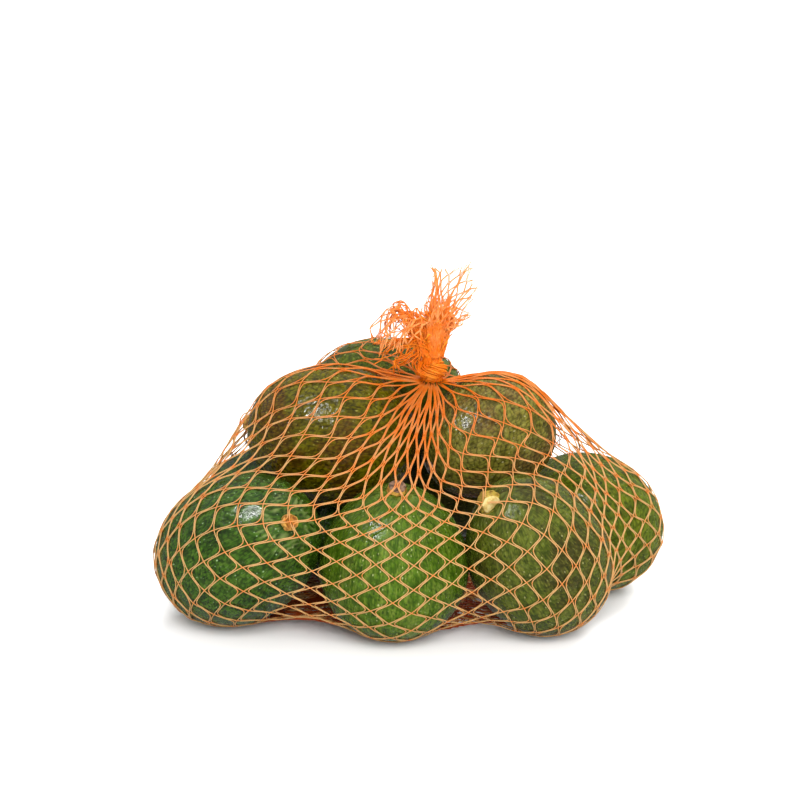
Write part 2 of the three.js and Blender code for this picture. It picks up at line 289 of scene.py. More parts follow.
# The bunches inside the tuft: how many pairs of threads, the box in which their tips lie over the knot
# and the least and most rise of their bends, in millimetres, and their greatest share of paleness.
BUNCHES = {
    "upright": (80, (-12, -7, 8), (9, 7, 22), (4, 12), 0.7),
    "hanging": (58, (-27, -8, -8), (-6, 5, 12), (8, 22), 0.3),
}
BUNCH_STEPS = 12
BUNCH_FOOT = 4.7 * MM
BUNCH_THREAD = 0.18 * MM
BUNCH_CRUMPLE = 2.4 * MM
BUNCH_CRUMPLE_SIZE = 9 * MM
BUNCH_CRUMPLE_WAVES = 7
BUNCH_LEAN = (0.3, 0.3, 0)
# Each fold of the tuft has its angle in degrees, then the reach and rise of its bend and of its tip in
# millimetres.
TUFT_FOLDS = np.array([
    (0, 2, 17, 14, 21),
    (40, 3, 26, 17, 38),
    (80, 1, 28, 6, 44),
    (115, 3, 18, 5, 22),
    (150, 13, 37, 18, 12),
    (180, 18, 46, 22, 0),
    (220, 10, 34, 19, 4),
    (285, 1, 14, 5, 26),
], float)


def linear(hex_colour):
    """The sRGB hex colour as linear red, green, blue and alpha."""
    shares = [int(hex_colour[k:k + 2], 16) / 255 for k in (1, 3, 5)]
    return [c / 12.92 if c <= 0.04045 else ((c + 0.055) / 1.055) ** 2.4 for c in shares] + [1.0]


def add_node(tree, kind, inputs=None, **settings):
    """A shader node with its settings, and its inputs as values or as links from other sockets."""
    made = tree.nodes.new("ShaderNode" + kind)
    for name, value in settings.items():
        setattr(made, name, value)
    for socket, value in (inputs or {}).items():
        if isinstance(value, bpy.types.NodeSocket):
            tree.links.new(value, made.inputs[socket])
        else:
            made.inputs[socket].default_value = value
    return made


def empty_material(name):
    """A new material with no nodes in it, and its node tree."""
    material = bpy.data.materials.new(name)
    material.use_nodes = True
    material.node_tree.nodes.clear()
    return material, material.node_tree


# Sockets of a colour mix
MIX_SHARE, MIX_UNDER, MIX_OVER, MIX_COLOUR = 0, 6, 7, 2

# Sizes of the patterns in the rind: streaks are about 3.5 mm apart round the fruit, dashes are about 0.9 mm
# wide and 3.5 mm long, and specks and pits about 0.8 mm wide and 1.3 mm long. The pits are painted shade of
# small dimples, and the specks are partly painted glints. The grain between the pebbles is about 0.3 mm on a
# real fruit, and is drawn coarser so that it shows.
STREAK_SCALE = 9.0
STREAK_LENGTH = 16 * MM
DASH_SCALE = 4.5
MOTTLE_SIZE = 4 * MM
PATCH_SIZE = 22 * MM
SPECK_SPACING = 1.6 * MM
PIT_SHADE_SPACING = 2.1 * MM
SPOT_STRETCH = (1, 1, 0.6)
GRAIN_SIZE = 0.8 * MM
# Sizes of the pores in a stem, and of the uneven stretches along a thread
CORK_SIZE = 1.6 * MM
STRETCH_SIZE = 7 * MM


def avocado_skin(name, look):
    """Avocado rind, as it grew: waxy and pebbled, so it glints on the high spots, with streaks that run to
    the stem, pale corky specks, brown patches and pale ridges round the stem. The pebble tops are lighter and
    the grooves darker, partly as the rind's own tone and partly as painted highlight and painted shade. Small
    dimples are darker as painted shade, and the pale specks are partly painted glints."""
    material, tree = empty_material(name)
    place = add_node(tree, "TexCoord").outputs["Object"]
    grown_at = add_node(tree, "Attribute", attribute_name="grown_at").outputs["Vector"]
    relief = add_node(tree, "Attribute", attribute_name="relief").outputs["Fac"]
    ridge = add_node(tree, "Attribute", attribute_name="ridge").outputs["Fac"]
    ring = add_node(tree, "VectorMath", {0: grown_at, 1: (1, 1, 0)}, operation="MULTIPLY")
    ring = add_node(tree, "VectorMath", {0: ring.outputs[0]}, operation="NORMALIZE")
    ring = add_node(tree, "VectorMath", {0: ring.outputs[0], "Scale": STREAK_SCALE}, operation="SCALE")
    along = add_node(tree, "VectorMath", {0: grown_at, 1: (0, 0, 1 / STREAK_LENGTH)}, operation="MULTIPLY")
    grain = add_node(tree, "VectorMath", {0: ring.outputs[0], 1: along.outputs[0]}, operation="ADD")
    streaks = add_node(tree, "TexNoise", {"Vector": grain.outputs[0], "Scale": 1.0, "Detail": 4.0})
    mottle = add_node(tree, "TexNoise", {"Vector": place, "Scale": 1 / MOTTLE_SIZE, "Detail": 4.0})
    clouds = add_node(tree, "TexNoise", {"Vector": place, "Scale": 1 / PATCH_SIZE, "Detail": 4.0})
    dashes = add_node(tree, "TexNoise", {"Vector": grain.outputs[0], "Scale": DASH_SCALE, "Detail": 3.0})
    long_way = add_node(tree, "VectorMath", {0: grown_at, 1: SPOT_STRETCH}, operation="MULTIPLY")
    spots = []
    for spacing in (SPECK_SPACING, PIT_SHADE_SPACING):
        cells = add_node(tree, "TexVoronoi", {"Vector": long_way.outputs[0], "Scale": 1 / spacing})
        chosen = add_node(tree, "SeparateColor", {0: cells.outputs["Color"]})
        sparse = add_node(tree, "MapRange", {0: chosen.outputs[0], 1: 0.1, 2: 1.0, 3: 0.0, 4: 0.3})
        spots.append(add_node(tree, "Math", {0: sparse.outputs[0], 1: cells.outputs["Distance"]},
                              operation="SUBTRACT"))
    speck_and_glint, pit_shade = spots

    # Each layer: the pattern, where it starts and ends, the share of colour at either end, and the colour.
    patch_edge = 0.7 - 0.4 * look["patch_share"]
    layers = [
        (mottle.outputs[0], 0.36, 0.66, 0.0, 1.0, "high"),
        (streaks.outputs[0], 0.5, 0.72, 0.0, 0.6, "streak"),
        (clouds.outputs[0], patch_edge - 0.04, patch_edge + 0.1, 0.0, 0.8, "patch"),
        (dashes.outputs[0], 0.3, 0.5, 0.6, 0.0, "groove_and_shade"),
        (dashes.outputs[0], 0.52, 0.72, 0.0, 0.7, "streak"),
        # Painted highlight and painted shade: the pebble tops are painted lighter and the grooves between
        # them darker, partly as the rind's own tone
        (relief, 0.6, 1.0, 0.0, 0.3, "high"),
        (relief, 0.05, 0.6, look["groove_shade_share"], 0.0, "groove_and_shade"),
        # Painted shade: the dark pits stand for the shade in small dimples
        (pit_shade.outputs[0], -0.04, 0.1, 0.0, 0.75, "groove_and_shade"),
        # Pale corky specks, partly painted glints
        (speck_and_glint.outputs[0], -0.04, 0.2, 0.0, 0.8, "speck_and_glint"),
        (ridge, 0.15, 0.8, 0.0, 0.7, "ridge"),
    ]
    colour = linear(look["body"])
    for pattern, start, end, first_share, last_share, tone in layers:
        share = add_node(tree, "MapRange", {0: pattern, 1: start, 2: end, 3: first_share, 4: last_share},
                         interpolation_type="SMOOTHSTEP")
        painted = add_node(tree, "Mix", {MIX_SHARE: share.outputs[0], MIX_UNDER: colour,
                                         MIX_OVER: linear(look[tone])}, data_type="RGBA")
        colour = painted.outputs[MIX_COLOUR]
    fine = add_node(tree, "TexNoise", {"Vector": place, "Scale": 1 / GRAIN_SIZE, "Detail": 2.0})
    bump = add_node(tree, "Bump", {"Height": fine.outputs[0], "Strength": 0.4, "Distance": 0.4 * MM})
    rough = add_node(tree, "MapRange", {0: mottle.outputs[0], 1: 0.3, 2: 0.7,
                                        3: look["rough"] - 0.06, 4: look["rough"] + 0.16})
    shader = add_node(tree, "BsdfPrincipled", {
        "Base Color": colour, "Roughness": rough.outputs[0], "IOR": 1.45,
        "Specular IOR Level": look["gloss"], "Normal": bump.outputs[0]})
    add_node(tree, "OutputMaterial", {"Surface": shader.outputs[0]})
    return material


def dried_stem(name, dark, pale):
    """Dried avocado stem, snapped off by hand: matt and corky, mottled from dark pores to pale wood."""
    material, tree = empty_material(name)
    place = add_node(tree, "TexCoord").outputs["Object"]
    cork = add_node(tree, "TexNoise", {"Vector": place, "Scale": 1 / CORK_SIZE, "Detail": 5.0})
    share = add_node(tree, "MapRange", {0: cork.outputs[0], 1: 0.36, 2: 0.6},
                     interpolation_type="SMOOTHSTEP")
    colour = add_node(tree, "Mix", {MIX_SHARE: share.outputs[0], MIX_UNDER: linear(dark),
                                    MIX_OVER: linear(pale)}, data_type="RGBA")
    bump = add_node(tree, "Bump", {"Height": cork.outputs[0], "Strength": 0.5, "Distance": 0.5 * MM})
    shader = add_node(tree, "BsdfPrincipled", {"Base Color": colour.outputs[MIX_COLOUR], "Roughness": 0.65,
                                               "IOR": 1.45, "Normal": bump.outputs[0]})
    add_node(tree, "OutputMaterial", {"Surface": shader.outputs[0]})
    return material


def netting(name, joint, drawn):
    """Polyethylene thread, extruded and knitted: smooth, a little glossy and see-through, and paler where it
    is drawn thin between the joints."""
    material, tree = empty_material(name)
    place = add_node(tree, "TexCoord").outputs["Object"]
    thin = add_node(tree, "Attribute", attribute_name="drawn").outputs["Fac"]
    uneven = add_node(tree, "TexNoise", {"Vector": place, "Scale": 1 / STRETCH_SIZE, "Detail": 3.0})
    share = add_node(tree, "Math", {0: thin, 1: uneven.outputs[0]}, operation="ADD")
    share = add_node(tree, "MapRange", {0: share.outputs[0], 1: 0.4, 2: 1.5},
                     interpolation_type="SMOOTHSTEP")
    colour = add_node(tree, "Mix", {MIX_SHARE: share.outputs[0], MIX_UNDER: linear(joint),
                                    MIX_OVER: linear(drawn)}, data_type="RGBA")
    shader = add_node(tree, "BsdfPrincipled", {"Base Color": colour.outputs[MIX_COLOUR], "Roughness": 0.35,
                                               "IOR": 1.5, "Specular IOR Level": 0.35})
    glow = add_node(tree, "BsdfTranslucent", {"Color": colour.outputs[MIX_COLOUR]})
    mixed = add_node(tree, "MixShader", {0: 0.25, 1: shader.outputs[0], 2: glow.outputs[0]})
    add_node(tree, "OutputMaterial", {"Surface": mixed.outputs[0]})
    return material


def make_piece(name, points, faces, material, replaced):
    """A smooth mesh in the frame, on the only body, that stands for a CAD node."""
    mesh = bpy.data.meshes.new(name)
    mesh.from_pydata(np.asarray(points, float).reshape(-1, 3), [], faces)
    mesh.update()
    mesh.shade_smooth()
    mesh.materials.append(material)
    piece = bpy.data.objects.new(name, mesh)
    bpy.context.scene.collection.objects.link(piece)
    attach(piece, "root")
    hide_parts(replaced)
    return piece


def note_values(piece, name, values):
    """Keeps a number or a vector at each point of a piece, for its material."""
    kind, field = ("FLOAT_VECTOR", "vector") if values.ndim == 2 else ("FLOAT", "value")
    kept = piece.data.attributes.new(name, kind, "POINT")
    kept.data.foreach_set(field, values.astype(np.float32).ravel())


def smoothstep(share):
    """A share from 0 to 1 that starts and ends gently."""
    share = np.clip(share, 0, 1)
    return share * share * (3 - 2 * share)


def unit(vectors):
    """The same directions at a length of 1."""
    return vectors / np.maximum(np.linalg.norm(vectors, axis=-1, keepdims=True), LEAST_LENGTH)


def ring_faces(rings, sides):
    """Quads between neighbouring rings of points, facing out where the rings rise anticlockwise."""
    faces = []
    for ring in range(rings - 1):
        for side in range(sides):
            here, after = ring * sides + side, ring * sides + (side + 1) % sides
            faces.append([here, after, after + sides, here + sides])
    return faces


# The fruit


def egg_depth(along, across, half_length, half_width):
    """How far out a point lies, as a share of the way to the skin."""
    station = np.clip(along / half_length, -1, 1)
    return np.hypot(along / half_length, across / (half_width * (1 - TAPER * station)))


def skin_radius(directions, axis, half_length, half_width):
    """How far the skin is from the fruit's centre, in each direction."""
    radius = np.full(len(directions), float(half_width))
    along = directions @ axis
    across = np.sqrt(np.maximum(1 - along ** 2, 0))
    for _ in range(SKIN_PASSES):
        radius = radius / egg_depth(radius * along, radius * across, half_length, half_width)
    return radius


def stem_root(at, axis, half_length, half_width, stem):
    """Where a fruit's stem leaves the skin, in metres, and the way that it points."""
    axis = unit(np.array(axis, float))
    way = unit(axis + np.array(STEMS[stem]["off"]))
    radius = skin_radius(way[None], axis, half_length, half_width)[0]
    return (np.array(at) + way * radius) * MM, way


def stem_balls():
    """Balls over the stems, which keep the net off them."""
    balls = []
    for at, axis, half_length, half_width, _, stem in AVOCADOS.values():
        root, way = stem_root(at, axis, half_length, half_width, stem)
        height, radius = STEMS[stem]["ride"]
        balls.append((root + way * height * MM, radius * MM))
    return balls


STEM_BALLS = stem_balls()


def push_out(points, clearance):
    """Moves points that lie in a fruit or a stem, or closer to it than the clearance, out to its skin."""
    for at, axis, half_length, half_width, *_ in AVOCADOS.values():
        offset = points - np.array(at) * MM
        along = offset @ unit(np.array(axis, float))
        across = np.sqrt(np.maximum((offset ** 2).sum(-1) - along ** 2, 0))
        depth = egg_depth(along, across, half_length * MM + clearance, half_width * MM + clearance)
        points = np.array(at) * MM + offset * np.maximum(1, 1 / np.maximum(depth, LEAST_DEPTH))[..., None]
    for middle, radius in STEM_BALLS:
        offset = points - middle
        depth = np.linalg.norm(offset, axis=-1, keepdims=True) / (radius + clearance)
        points = middle + offset * np.maximum(1, 1 / np.maximum(depth, LEAST_DEPTH))
    points[..., 2] = np.maximum(points[..., 2], FLOOR_CLEARANCE)
    return points


def round_ball():
    """Directions and faces of a ball made from a cube, so that its faces are nearly even."""
    ball = bmesh.new()
    bmesh.ops.create_cube(ball, size=2)
    bmesh.ops.subdivide_edges(ball, edges=ball.edges[:], cuts=BALL_CUTS, use_grid_fill=True)
    bmesh.ops.recalc_face_normals(ball, faces=ball.faces[:])
    directions = unit(np.tan(np.array([v.co for v in ball.verts]) * math.pi / 4))
    faces = [[v.index for v in face.verts] for face in ball.faces]
    ball.free()
    return directions, faces


def swell(directions, waves, bumps):
    """A slow uneven swell over a ball, from -1 to 1: a few random waves, about as many bumps as given."""
    total = np.zeros(len(directions))
    for _ in range(waves):
        heading = unit(dice.normal(size=3))
        fine = bumps * dice.uniform(*SWELL_SPREAD)
        total += np.cos(directions @ heading * fine + dice.uniform(0, FULL_TURN))
    return total / waves * 2


def pebbles(directions, count):
    """Rounded pebbles packed over a ball: 1 on the top of a pebble, and 0 in the grooves between them."""
    lift = np.arccos(1 - 2 * (np.arange(count) + 0.5) / count)
    golden_turn = math.pi * (1 + 5 ** 0.5) * np.arange(count)
    out = np.sin(lift)
    spots = np.stack([np.cos(golden_turn) * out, np.sin(golden_turn) * out, np.cos(lift)], -1)
    spots = unit(spots + dice.normal(size=spots.shape) * PEBBLE_SCATTER / math.sqrt(count))
    tree = KDTree(count)
    for index, spot in enumerate(spots):
        tree.insert(spot, index)
    tree.balance()
    near = np.array([[hit[2] for hit in tree.find_n(d, 2)] for d in directions])
    return smoothstep((near[:, 1] - near[:, 0]) / (PEBBLE_GROOVE / math.sqrt(count)))


def avocado(name, at, axis, half_length, half_width, skin, stem, ball, materials):
    """One fruit with the relief of its skin, and its stem."""
    own, faces = ball
    look = SKINS[skin]
    turn = np.array(Vector((0, 0, 1)).rotation_difference(Vector(axis)).to_matrix())
    directions = own @ turn.T
    radius = skin_radius(own, UP, half_length, half_width)
    root, way = stem_root(at, axis, half_length, half_width, stem)
    from_stem = np.arccos(np.clip(directions @ way, -1, 1)) * half_width
    area = 4 * math.pi * half_width * half_length
    pebbled = pebbles(own, int(area / look["pebble"] ** 2))
    uneven = 1 - PEBBLE_UNEVEN + PEBBLE_UNEVEN * swell(own, UNEVEN_WAVES, UNEVEN_BUMPS)
    aside = unit(np.cross(way, ROUND_FROM))
    round_stem = np.arctan2(directions @ np.cross(way, aside), directions @ aside)
    fade = 1 - RIDGE_FADE + RIDGE_FADE * np.cos(round_stem * RIDGE_FADES + from_stem)
    ridges = (0.5 + 0.5 * np.cos(round_stem * RIDGES)) * fade
    ridges = ridges * np.exp(-((from_stem - RIDGE_RING) / RIDGE_REACH) ** 2)
    relief = look["height"] * uneven * (pebbled - PEBBLE_MIDDLE) + look["rib"] * ridges
    relief += SKIN_SWELL * swell(own, SWELL_WAVES, SWELL_BUMPS)
    relief -= STEM_DIMPLE * np.exp(-(from_stem / STEM_DIMPLE_REACH) ** 2)
    points = (np.array(at) + directions * (radius + relief)[:, None]) * MM
    piece = make_piece(name, points, faces, materials[skin], "filled_net")
    note_values(piece, "grown_at", own * radius[:, None] * MM)
    note_values(piece, "relief", pebbled)
    note_values(piece, "ridge", ridges * (look["rib"] > 0))
    stem_piece(name + "_stem", stem, root - way * STEM_DIMPLE * MM, way, materials)


def stem_piece(name, stem, root, way, materials):
    """A ragged stem turned from its profile, bent over where its tip points away, with a snapped end."""
    profile = STEMS[stem]["profile"]
    bend = unit(np.array(STEMS[stem].get("bend", way), float))
    top = max(height for height, _ in profile)
    angles = np.arange(STEM_SIDES) / STEM_SIDES * FULL_TURN
    ragged = sum(np.cos(angles * count + dice.uniform(0, FULL_TURN)) for count in STEM_WAVES) * STEM_RAGGED
    middle, height_before = root, 0.0
    rings = []
    for height, radius in profile:
        heading = unit(way + (bend - way) * np.clip(height / top, 0, 1))
        middle = middle + heading * (height - height_before) * MM
        height_before = height
        side = unit(np.cross(heading, RIGHT))
        spokes = np.cos(angles)[:, None] * side + np.sin(angles)[:, None] * np.cross(heading, side)
        across = radius * (1 + ragged + dice.normal(size=STEM_SIDES) * STEM_RAGGED / 2)
        rings.append(middle + spokes * across[:, None] * MM)
    points = np.concatenate(rings)
    faces = ring_faces(len(profile), STEM_SIDES)
    bark_faces = len(faces) - STEM_END_RINGS * STEM_SIDES
    faces += [list(range(len(points) - STEM_SIDES, len(points))), list(range(STEM_SIDES))[::-1]]
    piece = make_piece(name, points, faces, materials[stem + " bark"], "filled_net")
    piece.data.materials.append(materials[stem + " end"])
    snapped = [int(bark_faces <= k < len(faces) - 1) for k in range(len(faces))]
    piece.data.polygons.foreach_set("material_index", snapped)


# The net


def column_turn(row):
    """Angles of a row's joints about the neck: odd rows are half a mesh further round."""
    return (np.arange(COLUMNS) + 0.5 * (row % 2)) / COLUMNS * FULL_TURN


def nearest_turn(angles):
    """Angles as turns of at most half a circle either way."""
    return (angles + math.pi) % FULL_TURN - math.pi


def gathered_turn(row):
    """Angles of a row's joints, drawn towards the nearest fold."""
    own = column_turn(row)
    to_folds = nearest_turn(FOLDS[None] - own[:, None])
    nearest = to_folds[np.arange(COLUMNS), np.abs(to_folds).argmin(1)]
    return own + np.interp(row, GATHER_ROWS, GATHER_SHARES) * nearest


def lower_columns(row, side):
    """Columns of the joints below a row's joints: side 0 is down to the left, side 1 down to the right."""
    return (np.arange(COLUMNS) + row % 2 - 1 + side) % COLUMNS


LOWER = np.array([[lower_columns(row, side) for row in range(ROWS - 1)] for side in (0, 1)])


def loose_drum():
    """The net before it is pulled in: from the neck out over the heap, down a wall and in to the seam."""
    share = np.arange(ROWS) / (ROWS - 1)
    radius = np.interp(share, DRUM_SHARES, [NECK_RADIUS, DRUM_RADIUS, DRUM_RADIUS, SEAM_RADIUS])[:, None]
    height = np.interp(share, DRUM_SHARES, [NECK[2], DRUM_TOP, DRUM_FOOT, SEAM[2]])[:, None]
    middle = [np.interp(share, DRUM_SHARES, [NECK[k], 0, 0, SEAM[k]])[:, None] for k in (0, 1)]
    turn = np.array([column_turn(row) for row in range(ROWS)])
    turn[0] = gathered_turn(0)
    x = middle[0] + radius * np.cos(turn)
    y = middle[1] + radius * np.sin(turn)
    return np.stack([x, y, np.broadcast_to(height, turn.shape)], -1)


def drawn_together(net, pull, parity):
    """The odd or even rows, and where the four strands of each of their joints draw it."""
    rows = np.arange(2 - parity, ROWS - 1, 2)
    drawn, force = 0, 0
    for side in (0, 1):
        upper = lower_columns(parity, side)
        drawn = drawn + pull[side, rows] * net[rows[:, None] + 1, LOWER[side, rows]]
        drawn = drawn + pull[1 - side, rows - 1][:, upper] * net[rows - 1][:, upper]
        force = force + pull[side, rows] + pull[1 - side, rows - 1][:, upper]
    return rows, drawn / force


def stiffened(net, pull, power, least):
    """Strands longer than the knitted length pull harder, and shorter ones less."""
    harder = pull.copy()
    for side in (0, 1):
        ends = net[np.arange(1, ROWS)[:, None], LOWER[side]]
        length = np.linalg.norm(ends - net[:-1], axis=-1, keepdims=True)
        harder[side] = np.clip(pull[side] * (length / STRAND) ** power, least, MOST_PULL)
    return harder


def gathered(points, rows):
    """Rows of joints moved round the neck towards their folds, most in the rows next to the knot."""
    offset = points - NECK
    radius = np.hypot(offset[..., 0], offset[..., 1])
    angle = np.arctan2(offset[..., 1], offset[..., 0])
    target = np.stack([gathered_turn(row) for row in rows])
    hold = GATHER_HOLD * (1 - rows / GATHER_ROWS[-1])
    angle = angle + hold[:, None] * nearest_turn(target - angle)
    x = NECK[0] + radius * np.cos(angle)
    y = NECK[1] + radius * np.sin(angle)
    return np.stack([x, y, points[..., 2]], -1)


def heap_hull():
    """The CAD solid of the heap with its valleys filled, to be searched for the nearest place on it."""
    hull = bmesh.new()
    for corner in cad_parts["filled_net"].data.vertices:
        hull.verts.new(corner.co)
    bmesh.ops.convex_hull(hull, input=hull.verts)
    tree = BVHTree.FromBMesh(hull)
    hull.free()
    return tree


def laid_net():
    """The joints of the net: drawn in from the drum to the heap's hull, and then let free over the fruit,
    until the strands are about as long as they should be."""
    hull = heap_hull()
    net = loose_drum()
    for row in range(1, ROWS - 1):
        for column in range(COLUMNS):
            start = Vector(net[row, column])
            net[row, column] = hull.ray_cast(start, (Vector(HEART) - start).normalized())[0]
    pull = np.ones((2, ROWS - 1, COLUMNS, 1))
    for lay in range(LAY_PASSES):
        for parity in (1, 0):
            rows, drawn = drawn_together(net, pull, parity)
            held = [hull.find_nearest(Vector(point))[0] for point in drawn.reshape(-1, 3)]
            net[rows] = np.array(held).reshape(drawn.shape)
        if lay % STIFFEN_EVERY == STIFFEN_EVERY - 1:
            pull = stiffened(net, pull, LAY_STIFFENING, 1 / MOST_PULL)
    for free in range(FREE_PASSES):
        for parity in (1, 0):
            rows, drawn = drawn_together(net, pull, parity)
            held = push_out(drawn, JOINT_CLEARANCE)
            near = rows < GATHER_ROWS[-1]
            held[near] = push_out(gathered(held[near], rows[near]), JOINT_CLEARANCE)
            net[rows] = held
        if free % STIFFEN_EVERY == STIFFEN_EVERY - 1:
            pull = stiffened(net, pull, FREE_STIFFENING, LEAST_PULL)
    return net


def joint_frames(net):
    """For every joint: the unit vector round the net, the outward normal, and the width of a mesh there."""
    across = np.roll(net, -1, axis=1) - np.roll(net, 1, axis=1)
    width = np.linalg.norm(across, axis=-1, keepdims=True) / 2
    upward = np.gradient(net, axis=0) * -1
    normal = unit(np.cross(across, upward))
    return unit(across), normal, width


# One thread passes through these four states, row by row: the side that it runs down to, the side of its
# pair that it keeps to, and what it does at the joint below: turn back on the left, cross, or turn back
# on the right.
THREAD_STATES = [(1, -1, -1), (0, -1, 0), (0, 1, 1), (1, 1, 0)]
CROSS_OVER = 3


def thread_paths(net, start_state, thick):
    """Centre lines of the threads that start in one state at every first joint, with normals along them and
    how thin they are drawn: 0 at a joint, 1 between joints."""
    around, normal, width = joint_frames(net)
    spread = np.clip((width - JOINT_FROM) * JOINT_SHARE, JOINT_LEAST, JOINT_MOST)
    column = np.arange(COLUMNS)
    tint = dice.uniform(0, NECK_TINT, COLUMNS)
    points, normals, drawn = [], [], []
    for row in range(len(net) - 1):
        state = (start_state + row) % len(THREAD_STATES)
        before = (start_state + row - 1) % len(THREAD_STATES)
        side, lane, bend = THREAD_STATES[state]
        bend_above = THREAD_STATES[before][2] if row else 0
        below = lower_columns(row, side)[column]
        top, foot = net[row, column], net[row + 1, below]
        top_normal, foot_normal = normal[row, column], normal[row + 1, below]
        sideways = unit(np.cross(top_normal + foot_normal, foot - top))
        sideways *= np.sign((sideways * around[row, column]).sum(-1, keepdims=True))
        top_bend = bend_above * spread[row, column] * around[row, column]
        foot_bend = bend * spread[row + 1, below] * around[row + 1, below]
        top_lift = top_normal * thick * JOINT_LIFT * (before == CROSS_OVER)
        foot_lift = foot_normal * thick * JOINT_LIFT * (state == CROSS_OVER)
        pale = np.interp(row, PALE_ROWS, PALE_SHARES) + tint * max(0, 1 - row / TINT_ROWS)
        steps = STEPS + (row == len(net) - 2)
        for share in np.arange(steps) / STEPS:
            near_top = max(0, 1 - share / JOINT_REACH) ** 2
            near_foot = max(0, 1 - (1 - share) / JOINT_REACH) ** 2
            apart = lane * thick * smoothstep(min(share, 1 - share) / PAIR_CLOSE)
            point = top + (foot - top) * share + sideways * apart
            point = point + (top_bend + top_lift) * near_top + (foot_bend + foot_lift) * near_foot
            points.append(point)
            normals.append(unit(top_normal * (1 - share) + foot_normal * share))
            drawn.append(pale * (1 - JOINT_TINT * max(near_top, near_foot)))
        column = below
    return np.stack(points, 1), np.stack(normals, 1), np.stack(drawn, 1)


def softened(paths):
    """Rounds the corners of lines, and keeps their ends."""
    for _ in range(SMOOTHING):
        paths = paths.copy()
        paths[:, 1:-1] = 0.25 * paths[:, :-2] + 0.5 * paths[:, 1:-1] + 0.25 * paths[:, 2:]
    return paths


def threads(name, paths, normals, drawn, material, replaced, thick=THREAD):
    """Round threads along lines, closed at both ends."""
    count, steps = paths.shape[:2]
    ahead = unit(np.gradient(paths, axis=1))
    outward = unit(normals - ahead * (normals * ahead).sum(-1, keepdims=True))
    sideways = np.cross(ahead, outward)
    turn = np.arange(THREAD_SIDES) / THREAD_SIDES * FULL_TURN
    ring = np.cos(turn)[:, None] * outward[:, :, None] + np.sin(turn)[:, None] * sideways[:, :, None]
    points = paths[:, :, None] + ring * thick
    pattern = np.array(ring_faces(steps, THREAD_SIDES))
    first = np.arange(count)[:, None, None] * steps * THREAD_SIDES
    faces = (pattern[None] + first).reshape(-1, 4).tolist()
    cap = np.arange(THREAD_SIDES)
    faces += (first[:, 0] + cap[::-1]).tolist()
    faces += (first[:, 0] + (steps - 1) * THREAD_SIDES + cap).tolist()
    piece = make_piece(name, points, faces, material, replaced)
    note_values(piece, "drawn", np.repeat(drawn.ravel(), THREAD_SIDES))


def bag_net(material, shaded_slack_material):
    """The net round the fruit, in four pieces: the threads that start in each of the four states."""
    net = laid_net()
    net[1:-1] += dice.normal(size=net[1:-1].shape) * JOINT_SHIFT
    net[0] += (NECK - net[0]) * dice.uniform(0, NECK_DEPTH, (COLUMNS, 1))
    for state in range(len(THREAD_STATES)):
        paths, normals, drawn = thread_paths(net, state, THREAD)
        paths = push_out(softened(paths), THREAD + THREAD_CLEARANCE)
        threads(f"net_threads_{state + 1}", paths, normals, drawn, material, "filled_net")
    slack_net(net, shaded_slack_material)


def slack_net(net, material):
    """Slack of the net, bunched under the edge of the heap in strands that wander round it, painted darker
    as the shade under the heap.
    """
    turn = np.arange(COLUMNS * 2) / (COLUMNS * 2) * FULL_TURN
    row = dice.uniform(*SLACK_ROWS, (SLACK_STRANDS, 1)) + np.zeros((1, len(turn)))
    for waves in SLACK_WAVES:
        row = row + SLACK_WANDER * np.cos(waves * turn + dice.uniform(0, FULL_TURN, (SLACK_STRANDS, 1)))
    upper = np.floor(row).astype(int)
    column = turn / FULL_TURN * COLUMNS - 0.5 * (upper % 2)
    first = np.floor(column).astype(int)
    along, down = (column - first)[..., None], (row - upper)[..., None]
    near = net[upper, first % COLUMNS] * (1 - along) + net[upper, (first + 1) % COLUMNS] * along
    further = net[upper + 1, first % COLUMNS] * (1 - along) + net[upper + 1, (first + 1) % COLUMNS] * along
    paths = near * (1 - down) + further * down
    paths = np.concatenate([paths, paths[:, :1]], 1)
    paths = paths + crumple(paths, SLACK_CRUMPLE_WAVES, SLACK_CRUMPLE_SIZE) * SLACK_CRUMPLE
    paths = push_out(softened(paths), SLACK_THREAD)
    normals = np.broadcast_to(UP, paths.shape)
    pale = np.full(paths.shape[:2], SLACK_PALE)
    threads("net_slack", paths, normals, pale, material, "filled_net", SLACK_THREAD)


# The knot and the tuft


def crumple(points, waves, size):
    """A smooth random push at each point: a few waves about as long as the size, in random directions."""
    push = np.zeros_like(points)
    for _ in range(waves):
        heading = unit(dice.normal(size=3)) * FULL_TURN / size
        push += np.cos(points @ heading + dice.uniform(0, FULL_TURN))[..., None] * dice.normal(size=3)
    return push / math.sqrt(waves)


def knot_bundle(material):
    """The gathered threads that run up through the knot, twisted and drawn in at a waist."""
    count = COLUMNS * len(THREAD_STATES)
    share = np.linspace(0, 1, KNOT_STEPS)[None]
    radius = np.interp(share, KNOT_SHARES, KNOT_RADII) * MM
    radius = radius * (1 - BUNDLE_DEPTH * dice.random((count, 1)))
    radius = radius + dice.normal(size=(count, KNOT_STEPS)) * BUNDLE_STRAY
    angle = np.arange(count)[:, None] / count * FULL_TURN + KNOT_TWIST * share
    angle = angle + dice.normal(size=(count, 1)) * BUNDLE_LEAN
    way = np.stack([np.cos(angle), np.sin(angle), np.zeros_like(angle)], -1)
    paths = KNOT_FOOT + way * radius[..., None] + UP * (share * KNOT_HEIGHT)[..., None]
    threads("knot_bundle", paths, way, np.zeros(paths.shape[:2]), material, "knot")


